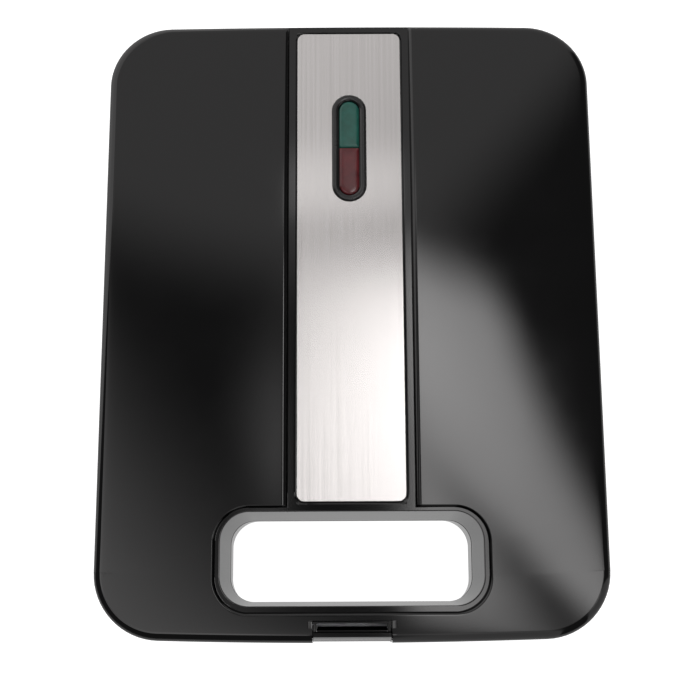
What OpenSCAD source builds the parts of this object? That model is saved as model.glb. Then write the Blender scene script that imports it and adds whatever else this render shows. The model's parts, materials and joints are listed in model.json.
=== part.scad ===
// Sandwich toaster with a hinged lid, in millimetres, standing on its feet at z = 0.
// +X is the right-hand side, +Y the hinge at the rear, +Z up. The lid is shut and latched.
// Both halves are thin shells round a frame, a cast plate, a heating element and a heat shield.

/* [Body] */
// Width of the lid and of the base
body_w = 280; // [260:1:320]
// Length of the lid and of the base, front to rear
body_l = 355; // [345:1:400]
// Corner radius of the body seen from above
corner_r = 36; // [24:1:44]
// How far the front edge is bowed
front_bow = 2.8; // [0:0.1:6]
// How far the rear edge is bowed
rear_bow = 1.4; // [0:0.1:4]
// Wall thickness of the two moulded covers
wall_t = 2.6; // [2:0.1:3]
// Height of the lid cover
lid_h = 46; // [44:1:60]
// Height of the base cover
base_h = 44; // [42:1:60]
// Gap between the rims of the two covers
rim_gap = 3; // [2.4:0.1:4]
// Radius of the rolled edge round the top of the lid
lid_edge_r = 4.5; // [3:0.5:9]
// Rise of the crown in the middle of the lid
lid_crown = 1.6; // [0.8:0.1:2.4]
// How far the base cover draws in towards the floor
base_taper = 3; // [2:0.5:5]
// Radius of the rolled edge round the underside
base_edge_r = 5; // [4:0.5:8]

/* [Steel strip] */
// Width of the steel strip
strip_w = 60; // [50:1:70]
// Thickness of the steel strip
strip_t = 1.2; // [0.8:0.1:1.6]
// Corner radius of the steel strip
strip_r = 4.3; // [2:0.1:8]
// Distance from the rear edge of the lid to the strip
strip_rear = 5.8; // [4:0.1:10]
// Distance from the hand opening to the strip
strip_front = 5.1; // [4:0.1:20]
// Width of the channel that the strip lies in
channel_w = 70; // [62:1:90]
// Depth of the channel below the top of the lid
channel_d = 3.5; // [3.2:0.1:4.2]
// Width of the gap round the strip
strip_gap = 0.8; // [0.4:0.1:1]

/* [Indicator] */
// Width of the indicator's bezel
bezel_w = 18.9; // [16:0.1:24]
// Length of the indicator's bezel
bezel_l = 64; // [56:0.5:74]
// Width of the two lenses
lens_w = 11.6; // [9:0.1:13]
// Distance from the rear edge of the lid to the middle of the indicator
indicator_rear = 76.5; // [56:0.5:95]
// Length of a neon lamp
lamp_l = 13; // [10:0.5:16]

/* [Handle] */
// Width of the hand opening
grip_w = 143; // [120:1:160]
// Length of the hand opening, front to rear
grip_l = 50.6; // [46:0.1:53]
// Corner radius of the hand opening
grip_r = 16; // [12:0.5:25]
// Distance from the front edge to the near side of the hand opening
grip_front = 19.8; // [17:0.1:21]
// How much narrower the opening is at the rim than at the top, on each side
grip_draft = 2.5; // [0.5:0.1:3]
// Width of the sunk ring round the hand opening, which is as deep as the channel
ring_w = 4.3; // [3:0.1:5.5]

/* [Latch] */
// Width of the notch for the latch
notch_w = 42.7; // [36:0.1:50]
// Depth of the notch behind the front edge
notch_l = 12.4; // [11.6:0.1:12.6]
// Side clearance of the latch in its housing
latch_gap = 0.4; // [0.3:0.05:0.8]
// Thickness of the latch's front wall
latch_t = 3; // [2.2:0.1:3.4]
// How far the latch's top leans back from its front face
latch_lean = 2.5; // [0:0.1:2.6]
// Thickness of the latch's top edge
latch_top_t = 2.2; // [1.4:0.1:2.4]
// Diameter of the latch pin
latch_pin_d = 2.4; // [1.8:0.1:3]
// How far the hook reaches under the catch
hook_reach = 4.5; // [3:0.1:5]
// Height of the latch pin above the floor
latch_pin_z = 80; // [76:1:84]

/* [Hinge] */
// Distance of the hinge axis behind the rear edge
hinge_back = 3.2; // [3:0.1:3.6]
// Radius of the hinge knuckles
knuckle_r = 6.5; // [5.5:0.1:6.7]
// Diameter of the hinge pins
hinge_pin_d = 5; // [4:0.1:6]
// Width of a middle knuckle
knuckle_w = 20; // [16:1:26]
// Width of each outer knuckle
ear_w = 10; // [8:1:14]
// Distance of each hinge from the middle of the body
hinge_x = 72; // [60:1:85]

/* [Plates] */
// Distance from the sides of the body to the plates
plate_side = 16; // [16:0.5:24]
// Distance from the hand opening to the plates
plate_front = 23.6; // [23:0.1:40]
// Thickness of the rim flange of a plate
flange_t = 3; // [2.4:0.1:3.6]
// Depth of a sandwich pocket
pocket_d = 10.5; // [8:0.5:11.5]
// Thickness of the floor of a pocket
pocket_floor = 3; // [2:0.1:3.5]
// Width of the lands between the four sandwich places
land_w = 10; // [8:0.5:14]
// Width of the cutting ridge across a sandwich place
ridge_w = 3.5; // [2.5:0.1:6]
// Corner radius of a pocket
pocket_r = 6; // [3:0.5:10]
// Distance from the rear edge of the body to the plates
plate_rear = 17; // [16:0.5:20]

/* [Heating] */
// Diameter of the heating elements
element_d = 6.6; // [5.5:0.1:7]
// Distance between the two legs of an element
element_w = 140; // [110:1:170]
// Radius of the bends of an element
element_r = 32; // [20:1:40]
// Sheet thickness of the heat shields
shield_t = 0.8; // [0.5:0.1:1.2]
// Free space between an element and its heat shield
shield_gap = 3; // [2:0.1:3.5]

/* [Base] */
// Height of the rubber feet
foot_h = 5; // [4:0.5:8]
// Radius of the rubber feet
foot_r = 9; // [7:0.5:12]
// How far the rear stand reaches behind the body
stand_l = 10; // [9.8:0.1:12]
// Width of each rear stand
stand_w = 26; // [20:1:30]
// Bore of the cord bush
cord_bore = 7.4; // [6:0.1:8]
// Height of the cord bush above the floor
cord_z = 22; // [20:0.5:24]
// Diameter of the screw shanks
screw_d = 3.2; // [2.8:0.1:3.6]

/* [Hidden] */
$fn = 64;

black = [0.03, 0.03, 0.035];
soft_black = [0.07, 0.07, 0.075];
steel = [0.75, 0.73, 0.71];
zinc = [0.62, 0.63, 0.65];
coating = [0.1, 0.1, 0.11];
porcelain = [0.9, 0.88, 0.82];
cut = 1; // how far a cutter runs past the face it cuts
fit = 0.3; // clearance between pieces that are assembled without a press fit
running = 0.05; // radial clearance of a pin that turns
round_steps = 5; // facets of a rolled edge
corner_steps = 8; // facets of a corner of an outline
edge_steps = 6; // facets of a bowed edge

// The body stands so that the whole part, with its rear stands, is centred on the origin.
body_y = -stand_l / 2;
front_y = -body_l / 2;
rear_y = body_l / 2;
base_rim_z = foot_h + base_h;
lid_rim_z = base_rim_z + rim_gap;
mid_z = base_rim_z + rim_gap / 2;
lid_top_z = lid_rim_z + lid_h;
lid_draft = 0.6;
shoulder_z = lid_top_z - lid_crown;
channel_z = lid_top_z - channel_d;
pan_z = channel_z - wall_t;
strip_z = channel_z + 0.4;
grip_y = front_y + grip_front + grip_l / 2;
channel_front = grip_y + grip_l / 2;
strip_l = rear_y - strip_rear - channel_front - strip_front;
strip_y = rear_y - strip_rear - strip_l / 2;
indicator_y = rear_y - indicator_rear;
grip_wall = 2.2;
plate_w = body_w - 2 * plate_side;
plate_l = rear_y - plate_rear - channel_front - plate_front;
plate_y = rear_y - plate_rear - plate_l / 2;
plate_skin = 0.3; // half of the gap between the closed plates
frame_t = 2.5;
ledge_w = 4;
hinge_y = rear_y + hinge_back;
hinge_w = knuckle_w + 2 * ear_w + 2 * fit;
hinge_slot = hinge_w + 2;
arm_l = 17;
element_z = plate_skin + pocket_d + pocket_floor + element_d / 2 + 0.1;
shield_z = element_z + element_d / 2 + shield_gap;
boss_r = 4;
side_boss_x = body_w / 2 - wall_t - fit - boss_r - 1.6;
place_w = (plate_w - 3 * land_w) / 2;
place_l = (plate_l - 3 * land_w) / 2;
place_x = (place_w + land_w) / 2;
place_y = (place_l + land_w) / 2;
post_l = 12; // length of the lower frame's screw posts
post_z = base_rim_z - frame_t - post_l;
seat_t = 6; // thickness of the base cover's bosses above the heads of the screws
seat_z = post_z - seat_t;
lid_screw_l = 16;
lid_screw_hole = lid_screw_l + 8;
latch_y = front_y + 1.2; // the latch's front face
latch_back = latch_y + latch_t;
latch_barrel = 2.3; // distance from the latch's front wall to its pin
latch_pin_y = latch_back + latch_barrel;
latch_w = notch_w - 2 * latch_gap;
cheek = 2; // width of the housing's arms
barrel_w = latch_w - 2 * cheek;
hook_side = 4; // how much narrower the hook is than the barrel, on each side
catch_t = 3;
bush_y = rear_y - base_taper - wall_t - 6; // inner end of the cord bush
bush_l = 16;
clamp_l = 9;
clamp_y = bush_y - clamp_l / 2 - 2.4;
lead_r = 1.5;
lead_y = plate_y + plate_l / 2 - 6;
terminal_x = -34;
terminal_y = plate_y + plate_l / 2 - 50;
terminal_l = 18;
terminal_pitch = 9;
catch_z = base_rim_z - 5;

// The screw places, the same in both halves.
side_ys = [plate_y - plate_l / 2 + 20, plate_y + plate_l / 2 - 24];
screw_places = [
  for (x = [-side_boss_x, side_boss_x])
    for (y = [side_ys[0], side_ys[1], grip_y])
      [x, y]
];
bridge_places = [for (x = [-1, 1]) [x * (element_w / 2 - 26), plate_y]];
foot_places = [
  for (x = [-1, 1])
    for (y = [-1, 1])
      [x * (body_w / 2 - corner_r), y * (body_l / 2 - corner_r)]
];

// ---- outlines and lofts -------------------------------------------------------------

// A point on an outline, with the front and rear edges bowed: the corners are drawn in.
function bowed(x, y, w, l, bows) =
  let (bow = y > 0 ? bows[1] : bows[0])
  [x, y * (1 - bow * pow(2 * x / w, 2) / (l / 2))];

// A level outline of width w and length l with round corners, as points at height z.
function outline(w, l, r, z, bows = [0, 0]) = [
  for (q = [0:3])
    let (
      sx = q == 0 || q == 3 ? 1 : -1,
      sy = q < 2 ? 1 : -1
    )
    for (p = concat(
      [for (i = [0:corner_steps])
        let (a = 90 * (q + i / corner_steps))
        [sx * (w / 2 - r) + r * cos(a), sy * (l / 2 - r) + r * sin(a)]],
      q % 2 == 1 ? [] :
        [for (i = [1:edge_steps - 1])
          [sx * (w / 2 - r) * (1 - 2 * i / edge_steps), sy * l / 2]]
    ))
      let (b = bowed(p[0], p[1], w, l, bows))
      [b[0], b[1], z]
];

// A closed solid through a stack of outlines that have the same number of points.
module loft(rings) {
  n = len(rings[0]);
  last = len(rings) - 1;
  polyhedron(
    points = [for (ring = rings) each ring],
    faces = concat(
      [[for (i = [0:n - 1]) i]],
      [[for (i = [n - 1:-1:0]) last * n + i]],
      [for (k = [0:last - 1])
        for (i = [0:n - 1])
          let (a = k * n + i, b = k * n + (i + 1) % n)
          each [[a, b + n, b], [a, a + n, b + n]]]
    )
  );
}

// A body outline drawn in by an inset; past the corner radius the corners stay nearly square.
function body_ring(inset, z) =
  outline(body_w - 2 * inset, body_l - 2 * inset, max(corner_r - inset, 2), z,
    [front_bow, rear_bow]);

// The lid's outer form drawn in by t: rim, drafted side, rolled edge and crown.
function lid_rings(t, bottom) = let (
  r = lid_edge_r - min(t, lid_edge_r - 1),
  drop = t,
  crown_span = min(body_w, body_l) / 2 - lid_draft - lid_edge_r - 6
) concat(
  [body_ring(t, bottom)],
  [for (i = [0:round_steps])
    let (a = 90 * i / round_steps)
    body_ring(t + lid_draft + r * (1 - cos(a)), shoulder_z - drop - r * (1 - sin(a)))],
  [for (s = [0.25, 0.5, 0.75, 1])
    body_ring(t + lid_draft + r + s * (crown_span - t),
      shoulder_z - drop + lid_crown * (1 - pow(1 - s, 2)))]
);

// The base's outer form drawn in by t: flat underside, rolled edge and tapered side.
function base_rings(t, top) = let (
  r = base_edge_r - min(t, base_edge_r - 1)
) concat(
  [for (i = [0:round_steps])
    let (a = 90 * i / round_steps)
    body_ring(t + base_taper + r * (1 - sin(a)), foot_h + t + r * (1 - cos(a)))],
  [body_ring(t, top)]
);

// A rounded tube form round the hand opening, wider by t, from the narrow rim to a wide end.
module grip_form(t, rim, end) {
  outlines = [
    outline(grip_w + 2 * (t - grip_draft), grip_l + 2 * (t - grip_draft),
      grip_r + t - grip_draft, rim),
    outline(grip_w + 2 * t, grip_l + 2 * t, grip_r + t, end)
  ];
  translate([0, grip_y, 0])
    loft(rim < end ? outlines : [outlines[1], outlines[0]]);
}

// ---- small shapes -------------------------------------------------------------------

// A box centred in x and y, standing from z0 to z1.
module box(w, l, z0, z1) {
  translate([-w / 2, -l / 2, z0])
    cube([w, l, z1 - z0]);
}

// A flat plate with round corners, from z0 to z1.
module rounded(w, l, r, z0, z1) {
  translate([0, 0, z0])
    linear_extrude(z1 - z0)
      rounded_2d(w, l, r);
}

module rounded_2d(w, l, r) {
  square([w - 2 * r, l], center = true);
  square([w, l - 2 * r], center = true);
  for (x = [-1, 1])
    for (y = [-1, 1])
      translate([x * (w / 2 - r), y * (l / 2 - r)])
        circle(r = r);
}

// A slot with half-round ends, long along y.
module pill(w, l, z0, z1) {
  translate([0, 0, z0])
    linear_extrude(z1 - z0)
      pill_2d(w, l);
}

module pill_2d(w, l) {
  square([w, l - w], center = true);
  for (y = [-1, 1])
    translate([0, y * (l - w) / 2])
      circle(d = w);
}

// A cylinder along x, centred on the point it is moved to.
module rod_x(r, w) {
  rotate([0, 90, 0])
    cylinder(r = r, h = w, center = true);
}

// A round lead through a list of points, with round joints.
module lead(points, r) {
  for (i = [0:len(points) - 2])
    hull()
      for (p = [points[i], points[i + 1]])
        translate(p)
          sphere(r = r, $fn = 10);
}

// A pan-head screw that points up from the underside of its head.
module screw(l, head_r = screw_d * 0.95, head_h = 2) {
  difference() {
    translate([0, 0, -head_h])
      cylinder(r = head_r, h = head_h);
    for (a = [0, 90])
      rotate(a)
        box(head_r * 1.3, 0.8, -head_h - cut, -head_h + 1);
  }
  cylinder(d = screw_d - 2 * running, h = l);
}

// Everything that is drawn is moved so that the whole part is centred on the origin.
module placed() {
  translate([0, body_y, 0])
    children();
}

// The upper half's inner pieces are the lower ones turned over about the middle plane.
module turned_over() {
  translate([0, 0, mid_z])
    mirror([0, 0, 1])
      children();
}

module lower_half() {
  translate([0, 0, mid_z])
    children();
}

// The slots in both halves that leave room for the two hinges.
module hinge_slots(depth, z0, z1) {
  for (x = [-1, 1])
    translate([x * hinge_x, hinge_y - depth / 2, 0])
      box(hinge_slot, depth, z0, z1);
}

// ---- the lid ------------------------------------------------------------------------

// The glossy cover: a crowned shell with the strip's channel, the hand opening and a notch.
module lid_cover() placed() color(black) {
  difference() {
    loft(lid_rings(0, lid_rim_z));
    difference() {
      loft(lid_rings(wall_t, lid_rim_z - cut));
      lid_inner_walls();
    }
    lid_cuts();
  }
}

// What the cover keeps inside: the channel's floor, the grip's wall, the bosses, the notch.
module lid_inner_walls() {
  channel_mid = (channel_front + rear_y) / 2;
  translate([0, channel_mid, 0])
    box(channel_w + 2 * wall_t, rear_y - channel_front + 2 * wall_t, pan_z, lid_top_z);
  grip_form(grip_wall, lid_rim_z, lid_top_z);
  translate([0, grip_y, 0])
    rounded(grip_w + 2 * (ring_w + wall_t), grip_l + 2 * (ring_w + wall_t),
      grip_r + ring_w + wall_t, pan_z, lid_top_z);
  for (p = screw_places)
    translate([p[0], p[1], lid_rim_z + frame_t + fit])
      cylinder(r = boss_r, h = lid_h);
  translate([0, front_y + (notch_l + wall_t) / 2, 0])
    box(notch_w + 2 * wall_t, notch_l + wall_t, lid_rim_z, lid_top_z);
}

module lid_cuts() {
  channel_l = rear_y - channel_front + cut;
  translate([0, channel_front + channel_l / 2, 0])
    box(channel_w, channel_l, channel_z, lid_top_z + cut);
  translate([0, strip_y, 0])
    rounded(strip_w + 2 * strip_gap, strip_l + 2 * strip_gap, strip_r + strip_gap,
      strip_z - strip_t, lid_top_z);
  translate([0, indicator_y, 0])
    pill(lens_w - 3, bezel_l - (bezel_w - lens_w) - 3, pan_z - cut, lid_top_z);
  grip_form(0, lid_rim_z, lid_top_z);
  translate([0, grip_y, 0])
    rounded(grip_w + 2 * ring_w, grip_l + 2 * ring_w, grip_r + ring_w, channel_z,
      lid_top_z + cut);
  translate([0, grip_y, 0])
    rounded(grip_w - 2 * grip_draft - 0.2, grip_l - 2 * grip_draft - 0.2, grip_r - grip_draft,
      lid_rim_z - cut, lid_top_z);
  for (p = screw_places)
    translate([p[0], p[1], lid_rim_z])
      cylinder(d = screw_d, h = lid_screw_hole);
  translate([0, front_y + notch_l / 2, 0])
    box(notch_w, notch_l + 2 * cut, lid_rim_z - cut, lid_top_z + cut);
  hinge_slots(hinge_back + 2 * wall_t + 4, lid_rim_z - cut, mid_z + knuckle_r + 2);
}

// The brushed steel strip, with a slot for the indicator.
module trim_plate() placed() color(steel) {
  difference() {
    translate([0, strip_y, 0])
      rounded(strip_w, strip_l, strip_r, strip_z - strip_t, strip_z);
    translate([0, indicator_y, 0])
      pill(bezel_w + 2 * fit, bezel_l + 2 * fit, strip_z - strip_t - cut, strip_z + cut);
  }
}

// The indicator's bezel: a raised ring with a seat for the lenses.
module indicator_bezel() placed() color(soft_black) {
  translate([0, indicator_y, 0])
    difference() {
      pill(bezel_w, bezel_l, strip_z - strip_t, strip_z + 1);
      pill(lens_w, bezel_l - (bezel_w - lens_w), strip_z - strip_t - cut, strip_z + 1 + cut);
    }
}

// One lens: half of a rounded bar.
module lens(side) {
  l = bezel_l - (bezel_w - lens_w) - 2 * 0.1;
  translate([0, indicator_y, 0])
    intersection() {
      pill(lens_w - 2 * 0.1, l, strip_z - strip_t, strip_z + 0.6);
      translate([0, side * (l / 4 + 0.05), 0])
        box(bezel_w, l / 2, strip_z - 2 * strip_t, strip_z + 2);
    }
}

module green_lens() placed() color("seagreen") {
  lens(1);
}

module red_lens() placed() color("firebrick") {
  lens(-1);
}

// Two neon lamps below the lenses.
module neon_lamps() placed() color("orange") {
  for (y = [-1, 1])
    translate([0, indicator_y + y * bezel_l / 4, pan_z - 5])
      rotate([90, 0, 0])
        cylinder(r = 2.6, h = lamp_l, center = true);
}

// The tray that holds the lamps against the underside of the channel.
module lamp_carrier() placed() color(porcelain) {
  translate([0, indicator_y, 0])
    difference() {
      box(bezel_w + 6, bezel_l, pan_z - 9, pan_z - 0.1);
      box(bezel_w + 2, bezel_l - 4, pan_z - 7.7, pan_z + cut);
    }
}

// ---- pieces that both halves have, drawn for the lower half with z = 0 between the plates

// The inner frame: a flat ring with a ledge under the plate's flange and screw posts.
module frame(post_l) {
  face = rim_gap / 2;
  window_w = plate_w + 2 * fit;
  window_l = plate_l + 2 * fit;
  ledge_top = plate_skin + flange_t + 0.1;
  difference() {
    union() {
      loft([body_ring(wall_t + 2 * fit, -face - frame_t), body_ring(wall_t + 2 * fit, -face)]);
      translate([0, plate_y, 0])
        box(window_w + 3, window_l + 3, -ledge_top - 3, -face);
      for (p = screw_places)
        translate([p[0], p[1], -face - frame_t - post_l])
          cylinder(r = boss_r, h = post_l + frame_t);
    }
    translate([0, plate_y, 0])
      box(window_w, window_l, -ledge_top, cut);
    translate([0, plate_y, 0])
      box(window_w - 2 * ledge_w, window_l - 2 * ledge_w, -2 * ledge_top - 3, cut);
    translate([0, grip_y, 0])
      rounded(grip_w + 2 * (grip_wall + fit), grip_l + 2 * (grip_wall + fit),
        grip_r + grip_wall + fit, -mid_z, cut);
    translate([0, front_y + (notch_l + wall_t + fit) / 2, 0])
      box(notch_w + 2 * (wall_t + fit), notch_l + wall_t + fit, -mid_z, cut);
    hinge_slots(hinge_back + 9, -frame_t - face - cut, cut);
  }
}

// A sandwich pocket: half of a square place, cut by the diagonal ridge, with round corners.
function pocket_points(corner) = let (
  hw = place_w / 2,
  hl = place_l / 2,
  slant = ridge_w / 2 * sqrt(2),
  a = [hw, hl],
  b = [-hw + slant, hl],
  c = [hw, -hl + slant],
  r = corner
) concat(
  [for (i = [0:4]) [a[0] - r + r * cos(i * 22.5), a[1] - r + r * sin(i * 22.5)]],
  [[b[0] + 1.6 * r, b[1]], [b[0] + 0.9 * r, b[1] - 0.3 * r], [b[0] + 0.8 * r, b[1] - 0.8 * r]],
  [[c[0] - 0.8 * r, c[1] + 0.8 * r], [c[0] - 0.3 * r, c[1] + 0.9 * r], [c[0], c[1] + 1.6 * r]]
);

// A cast plate: a flange, four trays behind it and two pockets in each sandwich place.
module plate() {
  top = -plate_skin;
  difference() {
    union() {
      translate([0, plate_y, 0])
        rounded(plate_w, plate_l, 8, top - flange_t, top);
      translate([0, plate_y, 0])
        box(plate_w - 2 * (ledge_w + 1.5), plate_l - 2 * (ledge_w + 1.5),
          top - pocket_d - pocket_floor, top - flange_t);
    }
    for (x = [-1, 1])
      for (y = [-1, 1])
        for (half = [0, 180])
          translate([x * place_x, plate_y + y * place_y, top - pocket_d])
            rotate(half)
              mirror([x * y > 0 ? 0 : 1, 0, 0])
                linear_extrude(pocket_d + cut)
                  polygon(pocket_points(pocket_r));
    for (p = bridge_places)
      translate([p[0], p[1], top - pocket_d - pocket_floor - cut])
        cylinder(d = screw_d, h = pocket_floor + cut + 4);
  }
}

// The tubular element: two legs, two bends and a cross piece, with thin terminal pins.
module element() {
  half = element_w / 2;
  y_rear = plate_y + plate_l / 2 - 30;
  y_front = plate_y - plate_l / 2 + 26;
  for (x = [-1, 1]) {
    translate([x * half, y_front + element_r, -element_z])
      rotate([-90, 0, 0])
        cylinder(d = element_d, h = y_rear - y_front - element_r);
    translate([x * half, y_rear, -element_z])
      rotate([-90, 0, 0])
        cylinder(d = 2.4, h = 12);
    translate([x * (half - element_r), y_front + element_r, -element_z])
      rotate(x > 0 ? -90 : 180)
        rotate_extrude(angle = 90)
          translate([element_r, 0])
            circle(d = element_d);
  }
  translate([0, y_front, -element_z])
    rod_x(element_d / 2, element_w - 2 * element_r);
}

// The heat shield: a shallow steel tray behind the element, with a drawn-in lip.
module heat_shield() {
  w = plate_w - 20;
  l = plate_l - 20;
  lip = plate_skin + pocket_d + pocket_floor + 0.3;
  translate([0, plate_y, 0])
    difference() {
      box(w, l, -shield_z - shield_t, -lip);
      box(w - 2 * shield_t, l - 2 * shield_t, -shield_z, -lip + cut);
      translate([0, l / 2, 0])
        box(element_w + 24, 4 * shield_t, -element_z - 8, -lip + cut);
      for (p = bridge_places)
        translate([p[0], 0, -shield_z - shield_t - cut])
          cylinder(d = screw_d + 0.6, h = shield_t + 2 * cut);
    }
}

// The steel bridge that clamps the element and the shield to the plate.
module bridge() {
  back = plate_skin + pocket_d + pocket_floor;
  w = element_w + 24;
  t = 1.5;
  translate([0, plate_y, 0])
    difference() {
      union() {
        box(w, 16, -element_z - element_d / 2 - t - 0.1, -element_z - element_d / 2 - 0.1);
        for (p = bridge_places)
          translate([p[0], 0, -shield_z + 0.1])
            cylinder(r = boss_r, h = shield_z - back - 0.2);
      }
      for (p = bridge_places)
        translate([p[0], 0, -shield_z - cut])
          cylinder(d = screw_d, h = shield_z);
    }
}

module bridge_screws() {
  for (p = bridge_places)
    translate([p[0], p[1], -shield_z - shield_t - 0.1])
      screw(shield_z + shield_t - plate_skin - pocket_d - pocket_floor + 3);
}

// ---- pieces of the upper half -------------------------------------------------------

module upper_frame() placed() color(soft_black) {
  turned_over()
    difference() {
      frame(0);
      for (p = screw_places)
        translate([p[0], p[1], -rim_gap / 2 - frame_t - cut])
          cylinder(d = screw_d + 0.6, h = frame_t + 2 * cut);
    }
}

module upper_plate() placed() color(coating) turned_over() plate();

module upper_element() placed() color(zinc) turned_over() element();

module upper_heat_shield() placed() color(zinc) turned_over() heat_shield();

module upper_bridge() placed() color(zinc) turned_over() bridge();

module upper_bridge_screws() placed() color(zinc) turned_over() bridge_screws();

// Screws that hold the upper frame to the bosses of the lid cover.
module lid_screws() placed() color(zinc) {
  for (p = screw_places)
    translate([p[0], p[1], lid_rim_z - 0.1])
      screw(lid_screw_l, screw_d * 0.9, 1.2);
}

// ---- hinge --------------------------------------------------------------------------

// An arm that joins a knuckle to a frame: z0 and z1 are its flat faces.
module hinge_arm(x, w, z0, z1) {
  translate([x, hinge_y - arm_l / 2, 0])
    box(w, arm_l, z0, z1);
}

module upper_knuckles() placed() color(soft_black) {
  arm_z = lid_rim_z + frame_t + 0.1;
  for (x = [-hinge_x, hinge_x])
    difference() {
      union() {
        translate([x, hinge_y, mid_z])
          rod_x(knuckle_r, knuckle_w);
        hinge_arm(x, knuckle_w, arm_z, mid_z + knuckle_r);
      }
      translate([x, hinge_y, mid_z])
        rod_x(hinge_pin_d / 2 + running, knuckle_w + 2 * cut);
    }
}

module lower_knuckles() placed() color(soft_black) {
  arm_z = base_rim_z - frame_t - 0.1;
  offset_x = (knuckle_w + ear_w) / 2 + fit;
  for (x = [-hinge_x, hinge_x])
    difference() {
      union() {
        for (s = [-1, 1]) {
          translate([x + s * offset_x, hinge_y, mid_z])
            rod_x(knuckle_r, ear_w);
          hinge_arm(x + s * offset_x, ear_w, mid_z - knuckle_r, arm_z);
        }
        translate([x, hinge_y - arm_l + 4, 0])
          box(hinge_w, 8, mid_z - knuckle_r - 1, arm_z);
      }
      translate([x, hinge_y, mid_z])
        rod_x(hinge_pin_d / 2, hinge_w + 2 * cut);
    }
}

module hinge_pins() placed() color(steel) {
  for (x = [-hinge_x, hinge_x])
    translate([x, hinge_y, mid_z])
      rod_x(hinge_pin_d / 2 - 0.02, hinge_w - 1);
}

// ---- latch --------------------------------------------------------------------------

// The housing set into the notch: a back wall with two arms that end in round eyes.
module latch_housing() placed() color(black) {
  back_t = 1.4;
  back_y = front_y + notch_l - fit / 2;
  eye_r = latch_barrel - 0.2;
  arm_y = back_y - latch_pin_y;
  difference() {
    union() {
      translate([0, back_y - back_t / 2, 0])
        box(notch_w - fit, back_t, lid_rim_z + 1, shoulder_z - 1.5);
      for (x = [-1, 1])
        translate([x * (notch_w - fit - cheek) / 2, latch_pin_y, latch_pin_z]) {
          rod_x(eye_r, cheek);
          translate([0, arm_y / 2, 0])
            box(cheek, arm_y, -eye_r, eye_r);
        }
    }
    translate([0, latch_pin_y, latch_pin_z])
      rod_x(latch_pin_d / 2, notch_w + 2 * cut);
  }
}

module latch_pin() placed() color(steel) {
  translate([0, latch_pin_y, latch_pin_z])
    rod_x(latch_pin_d / 2 - 0.02, notch_w - fit - 0.2);
}

// The latch: a front wall that hangs from its barrel and hooks under the catch.
module latch() placed() color(black) {
  hook_top = catch_z - catch_t - fit - 0.2;
  hook_t = 3.6;
  top = shoulder_z - 3.5;
  difference() {
    union() {
      translate([-latch_w / 2, latch_y, 0])
        rotate([90, 0, 90])
          linear_extrude(latch_w)
            polygon([
              [0, hook_top - hook_t], [latch_t, hook_top - hook_t],
              [latch_t, latch_pin_z + 2 * latch_barrel], [latch_lean + latch_top_t, top],
              [latch_lean, top], [0, latch_pin_z + 2 * latch_barrel]
            ]);
      translate([0, latch_y + (latch_t + hook_reach) / 2, 0])
        box(barrel_w - 2 * hook_side, latch_t + hook_reach, hook_top - hook_t, hook_top);
      translate([0, latch_pin_y, latch_pin_z])
        rod_x(latch_barrel + 0.3, barrel_w);
      translate([0, latch_y, hook_top - hook_t + 2])
        rod_x(1, latch_w);
    }
    translate([0, latch_pin_y, latch_pin_z])
      rod_x(latch_pin_d / 2 + running, latch_w + 2 * cut);
  }
}

// The catch on the base: a steel ledge held in a pocket of the base cover.
module latch_catch() placed() color(zinc) {
  y0 = latch_back + 1;
  y1 = front_y + notch_l - fit;
  w = notch_w - 2 * fit;
  translate([0, (y0 + y1) / 2, 0])
    box(w, y1 - y0, catch_z - catch_t, catch_z);
  translate([0, y1 - 1, 0])
    box(w, 2, catch_z - 12, catch_z);
}

// ---- the base -----------------------------------------------------------------------

module base_cover() placed() color(black) {
  difference() {
    loft(base_rings(0, base_rim_z));
    difference() {
      loft(base_rings(wall_t, base_rim_z + cut));
      base_inner_walls();
    }
    base_cuts();
  }
}

module base_inner_walls() {
  grip_form(grip_wall, base_rim_z, foot_h);
  translate([0, front_y + (notch_l + wall_t) / 2, 0])
    box(notch_w + 2 * wall_t, notch_l + wall_t, catch_z - 16, base_rim_z);
  for (p = screw_places)
    translate([p[0], p[1], 0])
      cylinder(r = boss_r + 1.2, h = post_z - 0.2);
}

module base_cuts() {
  grip_form(0, base_rim_z, foot_h);
  translate([0, grip_y, 0])
    rounded(grip_w - 2 * grip_draft - 0.2, grip_l - 2 * grip_draft - 0.2, grip_r - grip_draft,
      foot_h - cut, base_rim_z + cut);
  for (p = screw_places)
    translate([p[0], p[1], 0]) {
      cylinder(d = screw_d + 0.6, h = base_rim_z);
      cylinder(r = screw_d * 1.1, h = seat_z);
    }
  for (p = foot_places)
    translate([p[0], p[1], 0])
      cylinder(r = 3, h = foot_h + 2 * wall_t);
  translate([0, front_y + notch_l / 2, 0])
    box(notch_w, notch_l + 2 * cut, catch_z - 14, base_rim_z + cut);
  hinge_slots(hinge_back + 2 * wall_t + 4, mid_z - knuckle_r - 2, base_rim_z + cut);
  translate([0, rear_y, cord_z])
    rotate([90, 0, 0])
      cylinder(d = cord_bore + 6, h = 30, center = true);
  for (x = [-1, 1])
    for (i = [-3:3])
      translate([x * 62, plate_y + i * 9, 0])
        box(48, 3, foot_h - cut, foot_h + wall_t + cut);
}

module lower_frame() placed() color(soft_black) {
  lower_half()
    difference() {
      frame(post_l);
      for (p = screw_places)
        translate([p[0], p[1], -mid_z])
          cylinder(d = screw_d, h = post_z + post_l);
    }
}

module lower_plate() placed() color(coating) lower_half() plate();

module lower_element() placed() color(zinc) lower_half() element();

module lower_heat_shield() placed() color(zinc) lower_half() heat_shield();

module lower_bridge() placed() color(zinc) lower_half() bridge();

module lower_bridge_screws() placed() color(zinc) lower_half() bridge_screws();

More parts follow.
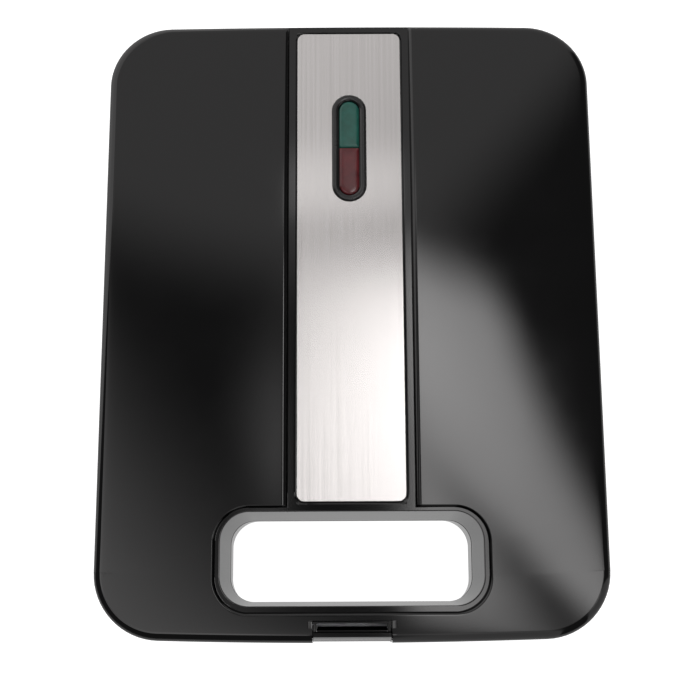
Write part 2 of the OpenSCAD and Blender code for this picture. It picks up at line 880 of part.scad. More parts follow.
// Screws that hold the base cover to the posts of the lower frame.
module base_screws() placed() color(zinc) {
  for (p = screw_places)
    translate([p[0], p[1], seat_z - 0.05])
      screw(seat_t + post_l - 2);
}

module thermostat() placed() color(porcelain) {
  translate([0, plate_y + 50, mid_z - shield_z - shield_t - 0.1]) {
    translate([0, 0, -9])
      cylinder(r = 8, h = 9);
    box(30, 10, -1, 0);
    for (x = [-1, 1])
      translate([x * 4, 0, 0])
        box(0.8, 6, -16, -9);
  }
}

module thermal_fuse() placed() color(zinc) {
  translate([32, plate_y + 50, mid_z - shield_z - shield_t - 2.6])
    rotate([90, 0, 0])
      cylinder(r = 2.4, h = 14, center = true);
}

// The terminal block on the floor of the base.
module terminal_block() placed() color(porcelain) {
  translate([terminal_x, terminal_y, 0])
    difference() {
      box(3 * terminal_pitch + 3, terminal_l, foot_h + wall_t + 0.1, foot_h + wall_t + 12);
      for (x = [-1, 0, 1])
        translate([x * terminal_pitch, 0, foot_h + wall_t + 5])
          cylinder(r = 2, h = 12);
    }
}

module lower_leads() placed() color("ivory") {
  z = foot_h + wall_t + 6;
  pin_z = mid_z - element_z;
  for (x = [-1, 1])
    lead([
      [x * element_w / 2, lead_y - 8, pin_z],
      [x * element_w / 2, lead_y, pin_z],
      [x * element_w / 2, lead_y, z],
      [x * terminal_pitch + terminal_x, terminal_y + terminal_l / 2 + lead_r + 0.2, z]
    ], lead_r);
}

module upper_leads() placed() color("ivory") {
  z = pan_z - 5;
  pin_z = mid_z + element_z;
  for (x = [-1, 1])
    lead([
      [x * element_w / 2, lead_y - 8, pin_z],
      [x * element_w / 2, lead_y, pin_z],
      [x * element_w / 2, lead_y, z],
      [x * 8, indicator_y + bezel_l / 2 + lead_r + fit, z]
    ], lead_r);
}

// The bush that the supply cord passes through, in the rear wall of the base.
module cord_bush() placed() color(soft_black) {
  translate([0, bush_y, cord_z])
    rotate([-90, 0, 0])
      difference() {
        union() {
          cylinder(d = cord_bore + 5, h = bush_l);
          cylinder(d = cord_bore + 9, h = 4);
          translate([0, 0, bush_l - 4])
            cylinder(d1 = cord_bore + 9, d2 = cord_bore + 6, h = 4);
        }
        translate([0, 0, -cut])
          cylinder(d = cord_bore, h = bush_l + 2 * cut);
      }
}

// The clamp that grips the cord inside the base.
module cord_clamp() placed() color(soft_black) {
  z0 = foot_h + wall_t + 0.1;
  translate([0, clamp_y, 0])
    difference() {
      box(34, clamp_l, z0, cord_z + cord_bore / 2 + 5);
      translate([0, 0, cord_z])
        rotate([90, 0, 0])
          cylinder(d = cord_bore - 0.6, h = 20, center = true);
      for (x = [-1, 1])
        translate([x * 12, 0, z0 - cut])
          cylinder(d = screw_d, h = 40);
    }
}

module cord_clamp_screws() placed() color(zinc) {
  for (x = [-1, 1])
    translate([x * 12, clamp_y, cord_z + cord_bore / 2 + 5.1])
      mirror([0, 0, 1])
        screw(18);
}

module rubber_feet() placed() color("dimgray") {
  for (p = foot_places)
    translate([p[0], p[1], 0]) {
      cylinder(r1 = foot_r - 1, r2 = foot_r, h = foot_h - 0.1);
      cylinder(r = 2.9, h = foot_h + wall_t + 2);
    }
}

// Stands on the rear wall, which carry the toaster when it is stored upright.
module rear_stands() placed() color(soft_black) {
  reach = stand_l + base_taper + rear_bow;
  difference() {
    for (x = [-1, 1])
      translate([x * (body_w / 2 - corner_r - stand_w / 2), rear_y + stand_l - reach / 2, 0])
        box(stand_w, reach, foot_h + base_edge_r + 2, base_rim_z - 12);
    loft(base_rings(-0.1, base_rim_z));
  }
}

lid_cover();
trim_plate();
indicator_bezel();
green_lens();
red_lens();
neon_lamps();
lamp_carrier();
upper_frame();
upper_heat_shield();
upper_plate();
upper_element();
upper_bridge();
upper_bridge_screws();
lid_screws();
latch_housing();
latch();
latch_pin();
upper_knuckles();
upper_leads();
base_cover();
lower_frame();
lower_heat_shield();
lower_plate();
lower_element();
lower_bridge();
lower_bridge_screws();
base_screws();
lower_knuckles();
hinge_pins();
latch_catch();
thermostat();
thermal_fuse();
terminal_block();
lower_leads();
cord_bush();
cord_clamp();
cord_clamp_screws();
rubber_feet();
rear_stands();
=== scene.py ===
import bpy
import bmesh
import json
import math
import numpy as np
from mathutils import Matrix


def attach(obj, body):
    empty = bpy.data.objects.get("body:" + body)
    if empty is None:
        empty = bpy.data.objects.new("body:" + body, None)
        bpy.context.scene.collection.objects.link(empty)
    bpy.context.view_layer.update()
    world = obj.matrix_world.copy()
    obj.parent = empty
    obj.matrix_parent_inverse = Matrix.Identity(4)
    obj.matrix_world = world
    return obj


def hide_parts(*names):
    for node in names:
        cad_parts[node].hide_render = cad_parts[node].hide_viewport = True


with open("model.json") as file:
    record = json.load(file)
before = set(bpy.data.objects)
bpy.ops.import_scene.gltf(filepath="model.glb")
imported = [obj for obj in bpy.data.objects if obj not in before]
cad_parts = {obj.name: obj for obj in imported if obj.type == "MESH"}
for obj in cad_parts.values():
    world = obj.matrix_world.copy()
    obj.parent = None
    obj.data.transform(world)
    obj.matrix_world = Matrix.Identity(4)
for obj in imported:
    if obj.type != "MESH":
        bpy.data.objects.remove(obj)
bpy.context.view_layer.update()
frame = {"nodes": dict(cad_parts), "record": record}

# Sandwich toaster. Sizes are in millimetres with y = 0 in the middle of the body, as in its
# drawing.
mm = 0.001
bodyShift = -5.0  # the shared frame is centred on the body together with its rear stands

body = {"width": 280.0, "length": 355.0, "corner": 36.0, "frontBow": 2.8, "rearBow": 1.4,
        "wall": 2.6, "lidRim": 52.0, "baseRim": 49.0, "mid": 50.5}
handle = {"width": 143.0, "length": 50.6, "corner": 16.0, "front": 19.8, "draft": 2.5,
          "wall": 2.2, "floor": 2.9, "rise": 2.3}
gripY = -body["length"] / 2 + handle["front"] + handle["length"] / 2


# Meshes.

# Quads of a grid of points numbered row by row; a wrapped side joins its last line to its first.
def gridQuads(rows, cols, wrapRows, wrapCols):
    r = np.arange(rows if wrapRows else rows - 1)[:, None]
    c = np.arange(cols if wrapCols else cols - 1)[None, :]
    a = r * cols + c
    b = r * cols + (c + 1) % cols
    d = ((r + 1) % rows) * cols + c
    e = ((r + 1) % rows) * cols + (c + 1) % cols
    return np.stack([a, b, e, d], -1).reshape(-1, 4)


# A mesh from millimetre points in the body's own frame, scaled to metres, with its normals
# outwards.
def meshFrom(name, points, faces, mirrored=False):
    p = np.asarray(points, float).reshape(-1, 3).copy()
    if mirrored:
        p[:, 2] = 2 * body["mid"] - p[:, 2]
    p[:, 1] += bodyShift
    mesh = bpy.data.meshes.new(name)
    mesh.from_pydata((p * mm).tolist(), [], [list(map(int, f)) for f in faces])
    b = bmesh.new()
    b.from_mesh(mesh)
    bmesh.ops.recalc_face_normals(b, faces=b.faces)
    b.to_mesh(mesh)
    b.free()
    return mesh


def addPiece(name, mesh):
    piece = bpy.data.objects.new(name, mesh)
    bpy.context.scene.collection.objects.link(piece)
    return piece


# The piece's modifiers are worked into its mesh.
def baked(piece):
    graph = bpy.context.evaluated_depsgraph_get()
    graph.update()
    mesh = bpy.data.meshes.new_from_object(piece.evaluated_get(graph))
    piece.modifiers.clear()
    piece.data = mesh
    return piece


# Smooth shading, with the edges sharper than the angle kept sharp. Large faces weigh more in the
# normals, so flat ones stay flat between their rolled edges.
def smoothed(piece, angle=32):
    mesh = piece.data
    mesh.polygons.foreach_set("use_smooth", np.ones(len(mesh.polygons), bool))
    mesh.set_sharp_from_angle(angle=math.radians(angle))
    mesh.update()
    step = piece.modifiers.new("normals", "WEIGHTED_NORMAL")
    step.mode = "FACE_AREA"
    step.keep_sharp = True
    return baked(piece)


# Union or difference with another closed mesh, which is used up.
def combined(piece, other, operation):
    step = piece.modifiers.new("step", "BOOLEAN")
    step.operation = operation
    step.solver = "EXACT"
    step.object = other
    baked(piece)
    bpy.data.objects.remove(other)
    return piece


def rolledEdges(piece, width, segments=2, angle=38):
    step = piece.modifiers.new("edges", "BEVEL")
    step.width = width * mm
    step.segments = segments
    step.limit_method = "ANGLE"
    step.angle_limit = math.radians(angle)
    step.use_clamp_overlap = True
    step.harden_normals = False
    return baked(piece)


# Closed upright prisms: each outline of level points is carried from its z0 to its z1.
def prisms(name, forms):
    points, faces, start = [], [], 0
    for outline, z0, z1 in forms:
        n = len(outline)
        for z in (z0, z1):
            points.append(np.column_stack([outline, np.full(n, z)]))
        sides = gridQuads(2, n, False, True) + start
        faces += sides.tolist()
        faces += [list(range(start, start + n)), list(range(start + n, start + 2 * n))]
        start += 2 * n
    return addPiece(name, meshFrom(name, np.vstack(points), faces))


# A rectangle with round corners: four quarter circles joined by straight edges.
def roundedOutline(x, y, w, l, r, steps=6):
    a = np.concatenate([np.linspace(q * 90, q * 90 + 90, steps + 1) for q in range(4)])
    q = np.repeat(np.arange(4), steps + 1)
    sx = np.where((q == 0) | (q == 3), 1, -1)
    sy = np.where(q < 2, 1, -1)
    t = np.radians(a)
    return np.column_stack([x + sx * (w / 2 - r) + r * np.cos(t),
                            y + sy * (l / 2 - r) + r * np.sin(t)])


def circleOutline(x, y, r, steps=40):
    t = np.linspace(0, 2 * np.pi, steps, endpoint=False)
    return np.column_stack([x + r * np.cos(t), y + r * np.sin(t)])


# Loops round the hand opening, shared by both covers.

# Lines that run from the hand opening to the body's edge. Each has a foot and a direction at both
# ends: a point lies at foot + direction * (radius + offset). Straight stretches of the opening
# give parallel lines, and its corners fan out to the body's corners.
def loopLines():
    w, l, r = body["width"] / 2, body["length"] / 2, body["corner"]
    gw, gl, gr = handle["width"] / 2, handle["length"] / 2, handle["corner"]
    ax, ay = gw - gr, gl - gr
    near = np.array([0, 6, 12, 18, 24, 28, 29.4, 30.1, 30.5, 30.7, 30.85, 31.0, 31.25, 31.8,
                     33, 34.2, 34.6, 34.8, 34.9, 35.05, 35.25, 35.5, 35.8, 36.2, 36.7, 37.3,
                     38, 39.5, 42, 45, 48, 51, ax])
    out, hole = [], []

    def add(outer, inner):
        out.append(np.asarray(outer, float))
        hole.append(np.asarray(inner, float))

    def straight(x, y, dx, dy):
        return np.column_stack(np.broadcast_arrays(x, y, dx, dy)).astype(float)

    def arc(cx, cy, a0, a1, n):
        t = np.radians(np.linspace(a0, a1, n))
        return np.column_stack([np.full(n, cx), np.full(n, cy), np.cos(t), np.sin(t)])

    add(straight(near, l - r, 0, 1), straight(near, gripY + ay, 0, 1))
    rear = np.vstack([straight(np.linspace(ax, w - r, 7)[1:-1], l - r, 0, 1),
                      arc(w - r, l - r, 90, 0, 17),
                      straight(w - r, np.linspace(l - r, gripY + ay, 15)[1:], 1, 0)])
    add(rear, arc(ax, gripY + ay, 90, 0, len(rear) + 1)[1:])
    front = np.vstack([straight(w - r, [gripY - ay, (gripY - ay - l + r) / 2], 1, 0),
                       arc(w - r, -l + r, 0, -90, 17),
                       straight(np.linspace(w - r, ax, 7)[1:], -l + r, 0, -1)])
    add(front, arc(ax, gripY - ay, 0, -90, len(front)))
    far = np.array([51, 47, 43, 38, 33, 28, 24, 20, 15, 10, 5, 0.0])
    add(straight(far, -l + r, 0, -1), straight(far, gripY - ay, 0, -1))
    out, hole = np.vstack(out), np.vstack(hole)
    left = slice(-2, 0, -1)  # the left half mirrors the right one, without the middle lines
    flip = np.array([-1, 1, -1, 1])
    return np.vstack([out, out[left] * flip]), np.vstack([hole, hole[left] * flip])


outLines, holeLines = loopLines()


# The front and rear edges are bowed: y shrinks with the square of x.
def bowed(p):
    bow = np.where(p[:, 1] > 0, body["rearBow"], body["frontBow"])
    k = 1 - bow * (2 * p[:, 0] / body["width"]) ** 2 / (body["length"] / 2)
    return np.column_stack([p[:, 0], p[:, 1] * k])


# In front of the hand opening the skin is narrow, so the rows past these distances lie closer
# there. The ring round the opening is wider in front of it than behind it.
crowded = {"inset": 8.2, "offset": 5.6, "share": 0.8}
ringWidth = {"side": 0.82, "swing": 0.18, "reach": 4.8}
spread = 1 - crowded["share"] * np.clip(-holeLines[:, 3], 0, 1) ** 2
ringShare = ringWidth["side"] - ringWidth["swing"] * holeLines[:, 3]


def atEdge(inset):
    past = max(inset - crowded["inset"], 0)
    reach = body["corner"] - (inset - past) - past * spread
    return bowed(outLines[:, :2] + outLines[:, 2:] * reach[:, None])


def atHole(offset):
    past = max(offset - crowded["offset"], 0)
    ring = min(max(offset, 0), crowded["offset"])
    catchUp = 1 + (1 - ringShare) * crowded["offset"] / ringWidth["reach"]
    reach = handle["corner"] + min(offset, 0) + ring * ringShare + past * spread * catchUp
    return holeLines[:, :2] + holeLines[:, 2:] * reach[:, None]


def between(offset, inset, share):
    return atHole(offset) * (1 - share) + atEdge(inset) * share


def level(p, z):
    return np.column_stack([p, np.broadcast_to(z, len(p))])


# The rim's small round edge, as (inset, height from the rim), and the last rows of the skin that
# meet between the hand opening and the body's edge, as (offset, inset).
rimRound = ((0.5, 0), (0.2, 0.08), (0.08, 0.25), (0.06, 0.6))
meeting = (10.4, 11.0)


# The lid cover.

lid = {"shoulder": 96.4, "roll": 4.5, "draft": 0.6, "rise": 1.56, "channelFloor": 94.5,
       "channelHalf": 34.8, "channelRise": 2.8, "seat": 0.82, "underside": 91.85,
       "wallTop": 98.0}
strip = {"width": 60.0, "rear": 5.8, "front": 5.1, "corner": 4.3, "gap": 0.8}
stripRearY = body["length"] / 2 - strip["rear"]
stripFrontY = gripY + handle["length"] / 2 + strip["front"]


# Distance to a rectangle with round corners, negative inside.
def roundedBoxDistance(x, y, halfW, halfL, r):
    qx = np.abs(x) - halfW + r
    qy = np.abs(y) - halfL + r
    return np.hypot(np.maximum(qx, 0), np.maximum(qy, 0)) + np.minimum(np.maximum(qx, qy), 0) - r


# Height of the lid's skin: a crown that falls with the squares of x and y, a rolled edge of a
# quarter circle, less the channel, the ring round the hand opening and the strip's seat. The sunk
# parts rise to the skin as one minus the cube of the way that is left.
def lidTop(p, inset=None, offset=None):
    x, y = p[:, 0], p[:, 1]
    r = lid["roll"]
    edge = lid["draft"] + r
    w, l = body["width"] / 2 - edge, body["length"] / 2 - edge
    crown = np.clip(1 - (x / w) ** 2, 0, 1) * np.clip(1 - (y / l) ** 2, 0, 1)
    top = lid["shoulder"] + lid["rise"] * crown ** 0.8
    if inset is not None and inset < edge:
        k = (edge - inset) / r
        top = np.full(len(x), lid["shoulder"] - r * (1 - math.sqrt(max(1 - k * k, 0))))
    channel = np.clip(1 - (np.abs(x) - lid["channelHalf"]) / lid["channelRise"], 0, 1) ** 3
    channel = np.where(y > gripY, channel, 0)
    ring = 0.0
    if offset is not None:
        ring = np.clip(1 - (offset - handle["floor"]) / handle["rise"], 0, 1) ** 3
    sunk = 1 - (1 - channel) * (1 - ring)
    above = top - lid["channelFloor"]
    z = top - sunk * (above + np.sqrt(above ** 2 + 0.02)) / 2
    middle, half = (stripRearY + stripFrontY) / 2, (stripRearY - stripFrontY) / 2
    d = roundedBoxDistance(x, y - middle, strip["width"] / 2 + strip["gap"],
                           half + strip["gap"], strip["corner"] + strip["gap"])
    k = np.clip((0.22 - d) / 0.4, 0, 1)
    return z - lid["seat"] * k * k * (3 - 2 * k)


def lidRows():
    r, draft = lid["roll"], lid["draft"]
    rim, shoulder = body["lidRim"], lid["shoulder"]
    wall = body["wall"]
    rows = []
    for inset, z in rimRound:
        rows.append(level(atEdge(inset), rim + z))
    for k in np.linspace(0.15, 1, 7):
        rows.append(level(atEdge(draft * k), rim + (shoulder - r - rim) * k))
    turn = draft + r * (1 - np.cos(np.radians(np.arange(7.5, 90, 7.5))))
    seat = [4.7, 4.85, 5.0, 5.15, 5.4, 5.8, 6.4, 7.0, 7.6, 8.2, 8.9, 9.6, 10.3,
            meeting[1]]
    for inset in sorted(set(np.round(np.concatenate([turn, seat]), 3))):
        p = atEdge(inset)
        rows.append(level(p, lidTop(p, inset=inset)))
    for share in np.linspace(1, 0, 30)[1:-1]:
        p = between(*meeting, share)
        rows.append(level(p, lidTop(p)))
    floor, rise = handle["floor"], handle["rise"]
    offsets = [meeting[0], 9.6, 8.8, 8.0, 7.3, 6.6, 6.0, 5.6, floor + rise, 5.0, 4.75, 4.5, 4.2,
               3.95, 3.75, 3.55, 3.4, floor, 2.6, 1.8, 1.1, 0.6, 0.35]
    for offset in offsets:
        p = atHole(offset)
        rows.append(level(p, lidTop(p, offset=offset)))
    floorZ, top = lid["channelFloor"], lid["wallTop"]
    drop = handle["draft"] / (top - rim)
    for out, z in ((0.12, floorZ - 0.08), (0.0, floorZ - 0.35)):
        rows.append(level(atHole(out - drop * (top - z)), z))
    for z in (92, 84, 74, 64, 56, rim + 0.5):
        rows.append(level(atHole(-drop * (top - z)), z))
    low = -handle["draft"]
    rows.append(level(atHole(low + 0.15), rim + 0.08))
    rows.append(level(atHole(low + 0.5), rim))
    rows.append(level(atHole(low + handle["wall"]), rim))
    under = lid["underside"]
    rows.append(level(atHole(handle["wall"] - 0.3), under - 0.1))
    for share in (0.0, 0.5, 1.0):
        rows.append(level(between(*meeting, share), under))
    rows.append(level(atEdge(wall + draft + 2.2), under - 1.2))
    rows.append(level(atEdge(wall + draft), shoulder - r))
    rows.append(level(atEdge(wall), rim + 0.3))
    rows.append(level(atEdge(wall - 0.3), rim))
    return np.array(rows)


latchSpot = {"width": 42.7, "depth": 12.4, "corner": 0.6, "blockY": 8.2, "blockPast": 1.2}
hingeSpot = {"x": 72.0, "width": 42.6, "depth": 12.4, "axisY": 180.7}
screwX = 131.5
frontY = -body["length"] / 2
screwSpots = [(s * screwX, y) for s in (-1, 1) for y in (-63.5, 136.5, gripY)]


def notchOutline(grow):
    return roundedOutline(0, frontY + (latchSpot["depth"] + grow) / 2 - 3,
                          latchSpot["width"] + 2 * grow, latchSpot["depth"] + grow + 6,
                          latchSpot["corner"] + grow * 0.5)


def hingeForms(z0, z1):
    return [(roundedOutline(s * hingeSpot["x"], hingeSpot["axisY"] - hingeSpot["depth"] / 2,
                            hingeSpot["width"], hingeSpot["depth"], 1.0), z0, z1)
            for s in (-1, 1)]


rows = lidRows()
lidCover = addPiece("lidCover", meshFrom("lidCover", rows, gridQuads(*rows.shape[:2], True, True)))
wallBlock = roundedOutline(0, frontY + latchSpot["blockY"],
                           latchSpot["width"] + 2 * body["wall"],
                           latchSpot["depth"] + latchSpot["blockPast"], 1.0)
combined(lidCover, prisms("block", [(wallBlock, 52.02, 93.0)] +
                          [(circleOutline(x, y, 4.0), 54.8, 93.0) for x, y in screwSpots]), "UNION")
combined(lidCover, prisms("cuts", [(notchOutline(0), 40, 110)] + hingeForms(45, 59)), "DIFFERENCE")
rolledEdges(lidCover, 0.22, 2, 50)
smoothed(lidCover, 30)
print("lid cover", len(lidCover.data.polygons))

# The base cover.

base = {"under": 5.0, "roll": 5.0, "taper": 3.0, "vent": (48.0, 3.0), "ventPitch": 9.0,
        "ventX": 62.0, "ventY": 38.5, "counterbore": 3.5, "boss": 5.2, "bossTop": 34.3}


# The base's skin: a tapered side, a rolled edge of a quarter circle and a flat underside, the
# draughted wall of the hand opening, and the inner side a wall's thickness within.
def baseRows():
    rim, under, r, taper = body["baseRim"], base["under"], base["roll"], base["taper"]
    wall = body["wall"]
    rows = []
    for inset, z in rimRound:
        rows.append(level(atEdge(inset), rim - z))
    for k in np.linspace(0.15, 1, 7):
        rows.append(level(atEdge(taper * k), rim - (rim - under - r) * k))
    for a in np.radians(np.arange(9, 91, 9)):
        rows.append(level(atEdge(taper + r * (1 - math.cos(a))), under + r * (1 - math.sin(a))))
    for share in np.linspace(1, 0, 12)[1:-1]:
        rows.append(level(between(3, taper + r, share), under))
    for offset, z in ((3, 0), (0.8, 0), (0.3, 0.1), (0.05, 0.4), (-0.05, 1.0)):
        rows.append(level(atHole(offset), under + z))
    for z in np.linspace(8, rim - 0.5, 6):
        rows.append(level(atHole(-handle["draft"] * (z - under) / (rim - under)), z))
    low = -handle["draft"]
    rows.append(level(atHole(low + 0.15), rim - 0.08))
    rows.append(level(atHole(low + 0.5), rim))
    rows.append(level(atHole(low + handle["wall"]), rim))
    rows.append(level(atHole(handle["wall"]), under + wall))
    for share in (0.3, 0.6, 1.0):
        rows.append(level(between(3, taper + r + 2, share), under + wall))
    rows.append(level(atEdge(wall + taper + 1.2), under + wall + 1.5))
    rows.append(level(atEdge(wall + taper), under + r))
    rows.append(level(atEdge(wall), rim - 0.3))
    rows.append(level(atEdge(wall - 0.3), rim))
    return np.array(rows)


rows = baseRows()
baseCover = addPiece("baseCover", meshFrom("baseCover", rows,
                                           gridQuads(*rows.shape[:2], True, True)))
posts = [(circleOutline(x, y, base["boss"]), 6.4, base["bossTop"]) for x, y in screwSpots]
combined(baseCover, prisms("posts", [(wallBlock, 28.0, 48.98)] + posts), "UNION")
vents = [(roundedOutline(s * base["ventX"], base["ventY"] + i * base["ventPitch"],
                         *base["vent"], 1.45, 5), 0, 12) for s in (-1, 1) for i in range(-3, 4)]
bores = [(circleOutline(x, y, base["counterbore"], 32), 0, 28.5) for x, y in screwSpots]
combined(baseCover, prisms("cuts", [(notchOutline(0), 30, 60)] + hingeForms(42, 60) + vents
                           + bores), "DIFFERENCE")
rolledEdges(baseCover, 0.22, 2, 50)
smoothed(baseCover, 30)
print("base cover", len(baseCover.data.polygons))

# The indicator.

indicator = {"y": 101.0, "width": 18.9, "length": 64.0, "lens": 11.6, "foot": 93.7, "top": 95.88,
             "lensTop": 95.45}


# A slot's outline: two half circles joined by straight sides.
def pillOutline(w, l, steps=28):
    t = np.linspace(0, np.pi, steps)
    x = np.concatenate([w / 2 * np.cos(t), w / 2 * np.cos(t + np.pi)])
    y = np.concatenate([w / 2 * np.sin(t) + (l - w) / 2, w / 2 * np.sin(t + np.pi) - (l - w) / 2])
    return np.column_stack([x, y + indicator["y"]])


# The bezel's section carried round the slot: upright outside, rounded on top, falling inwards.
def bezelRows():
    foot, top = indicator["foot"], indicator["top"]
    section = [(0, foot), (0, top - 0.7), (0.12, top - 0.32), (0.42, top - 0.08), (0.9, top),
               (1.6, top), (2.2, top - 0.06), (2.7, top - 0.22), (3.1, top - 0.5),
               (3.4, top - 0.9), (3.55, top - 1.4), (3.55, foot)]
    return np.array([level(pillOutline(indicator["width"] - 2 * d, indicator["length"] - 2 * d), z)
                     for d, z in section])


# Half of the slot, drawn in towards its middle: an upright edge, a rounded shoulder and a low
# dome that rises with the square of the way in.
def lensRows(side):
    w = indicator["lens"] - 0.1
    l = indicator["length"] - (indicator["width"] - indicator["lens"]) - 0.1
    t = np.linspace(0, np.pi, 33)
    arcX, arcY = w / 2 * np.cos(t), w / 2 * np.sin(t) + (l - w) / 2
    c = 0.7
    q = np.radians(np.linspace(180, 270, 5))
    seamX = np.concatenate([-w / 2 + c + c * np.cos(q), w / 2 - c + c * np.cos(q + np.pi / 2)])
    seamY = np.concatenate([0.05 + c + c * np.sin(q), 0.05 + c + c * np.sin(q + np.pi / 2)])
    outline = np.column_stack([np.concatenate([arcX, seamX]),
                               side * np.concatenate([arcY, seamY])])
    heart = np.column_stack([outline[:, 0] * 0.0,
                             side * np.clip(np.abs(outline[:, 1]), w / 2, (l - w) / 2)])
    foot, top = indicator["foot"], indicator["lensTop"]
    rows = []
    for share, z in ((0, foot), (0, top - 0.9), (0.03, top - 0.58), (0.08, top - 0.34),
                     (0.15, top - 0.18), (0.25, top - 0.08), (0.4, top - 0.03), (0.6, top - 0.01),
                     (0.97, top)):
        p = outline * (1 - share) + heart * share
        rows.append(level(p + [0, indicator["y"]], z))
    return np.array(rows)


rows = bezelRows()
bezel = smoothed(addPiece("indicatorBezel", meshFrom("indicatorBezel", rows,
                                                     gridQuads(*rows.shape[:2], True, True))), 40)
lenses = []
for side, name in ((1, "greenLens"), (-1, "redLens")):
    rows = lensRows(side)
    n = rows.shape[1]
    faces = gridQuads(*rows.shape[:2], False, True).tolist()
    faces += [list(range(n)), list(range((len(rows) - 1) * n, len(rows) * n))]
    lenses.append(smoothed(addPiece(name, meshFrom(name, rows, faces)), 40))
print("indicator")

# The cooking plates.

plate = {"width": 248.0, "length": 244.0, "y": 38.5, "corner": 8.0, "face": 0.3, "flange": 3.0,
         "depth": 10.2, "land": 10.0, "ridge": 3.5, "wall": 15.0, "tray": 5.5, "back": 13.8}


# The larger of two values, with the step between them rounded over k.
def softMax(a, b, k):
    h = np.clip(0.5 + 0.5 * (a - b) / k, 0, 1)
    return b * (1 - h) + a * h + k * h * (1 - h)


# Depth of the pockets: each sandwich place is halved by a diagonal ridge, and each half sinks as
# one minus the cube of the way left to its wall.
def pocketDepth(x, y):
    halfW = (plate["width"] - 3 * plate["land"]) / 4
    halfL = (plate["length"] - 3 * plate["land"]) / 4
    px = np.abs(x) - halfW - plate["land"] / 2
    py = np.abs(y) - halfL - plate["land"] / 2
    walls = softMax(np.abs(px) - halfW, np.abs(py) - halfL, 7.0)
    across = np.abs(px * halfL + py * halfW) / np.hypot(halfW, halfL)
    sd = softMax(walls, plate["ridge"] / 2 - across, 5.0)
    q = np.clip(-(sd + 0.6) / plate["wall"], 0, 1)
    return plate["depth"] * (1 - (1 - q) ** 3) + 0.25 * np.clip(1 - np.abs(sd + 0.6) / 0.9, 0, 1)


# The plate's face is a height over a grid whose corners are drawn onto quarter circles, and its
# back follows the same edge down past the flange to the tray.
def plateMesh(name, mirrored):
    w, l, r = plate["width"] / 2, plate["length"] / 2, plate["corner"]
    nx, ny = 221, 217
    gx, gy = np.meshgrid(np.linspace(-w, w, nx), np.linspace(-l, l, ny))
    a = np.clip(np.abs(gx) - (w - r), 0, r) / r
    b = np.clip(np.abs(gy) - (l - r), 0, r) / r
    x = np.sign(gx) * (np.minimum(np.abs(gx), w - r) + r * a * np.sqrt(1 - b * b / 2))
    y = np.sign(gy) * (np.minimum(np.abs(gy), l - r) + r * b * np.sqrt(1 - a * a / 2))
    top = body["mid"] - plate["face"]
    z = top - pocketDepth(x, y)
    face = np.column_stack([x.ravel(), y.ravel() + plate["y"], z.ravel()])
    index = np.arange(nx * ny).reshape(ny, nx)
    edge = np.concatenate([index[0, :-1], index[:-1, -1], index[-1, :0:-1], index[:0:-1, 0]])
    quads = gridQuads(ny, nx, False, False).tolist()
    ring = face[edge]
    middle = np.array([0, plate["y"]])
    skirts = []
    for inset, drop in ((0.0, 0.5), (0.0, plate["flange"] - 0.3), (0.3, plate["flange"]),
                        (plate["tray"], plate["flange"]), (plate["tray"], plate["back"] - 1.2),
                        (plate["tray"] + 0.8, plate["back"] - plate["face"])):
        shrink = 1 - inset / w
        skirts.append(level((ring[:, :2] - middle) * shrink + middle, top - drop))
    n, start = len(edge), nx * ny
    loops = [edge] + [start + k * n + np.arange(n) for k in range(len(skirts))]
    for upper, lower in zip(loops[:-1], loops[1:]):
        quads += np.stack([upper, np.roll(upper, -1), np.roll(lower, -1), lower], 1).tolist()
    quads.append(loops[-1].tolist())
    return meshFrom(name, np.vstack([face] + skirts), quads, mirrored)


lowerPlate = smoothed(addPiece("lowerPlate", plateMesh("lowerPlate", False)), 40)
upperPlate = smoothed(addPiece("upperPlate", plateMesh("upperPlate", True)), 40)
print("plates", len(lowerPlate.data.polygons))


# Pieces that keep the drawing's form, with their edges rolled.

# A merged copy of a CAD node's mesh, its level faces joined and its edges rolled over.
def softened(node, name, width, segments=2, angle=38, keepFlat=1.0):
    b = bmesh.new()
    b.from_mesh(frame["nodes"][node].data)
    bmesh.ops.remove_doubles(b, verts=b.verts, dist=2e-6)
    bmesh.ops.dissolve_limit(b, angle_limit=math.radians(keepFlat), verts=b.verts, edges=b.edges)
    mesh = bpy.data.meshes.new(name)
    b.to_mesh(mesh)
    b.free()
    mesh.materials.clear()
    return smoothed(rolledEdges(addPiece(name, mesh), width, segments, angle))


softPieces = {}
for node, name, width, segments in (
        ("trim_plate", "stripPlate", 0.28, 3), ("upper_frame", "upperFrame", 0.45, 2),
        ("lower_frame", "lowerFrame", 0.45, 2), ("upper_knuckles", "upperKnuckles", 0.5, 3),
        ("lower_knuckles", "lowerKnuckles", 0.5, 3), ("latch", "latchLever", 0.7, 4),
        ("latch_housing", "latchHousing", 0.3, 2), ("rear_stands", "rearStands", 1.4, 4),
        ("cord_bush", "cordBush", 0.5, 3), ("rubber_feet", "rubberFeet", 0.6, 3),
        ("hinge_pins", "hingePins", 0.4, 2), ("latch_pin", "latchPin", 0.25, 2),
        ("latch_catch", "latchCatch", 0.25, 2), ("base_screws", "baseScrews", 0.15, 2)):
    softPieces[node] = softened(node, name, width, segments)

# A flat map over the strip, with its first direction across the brush marks.
across = softPieces["trim_plate"].data
spots = np.empty(len(across.vertices) * 3)
across.vertices.foreach_get("co", spots)
corners = np.empty(len(across.loops), int)
across.loops.foreach_get("vertex_index", corners)
across.uv_layers.new(name="across").data.foreach_set(
    "uv", (spots.reshape(-1, 3)[corners, :2] * 4 + 0.5).ravel())
print("softened pieces")


# Shader helpers.

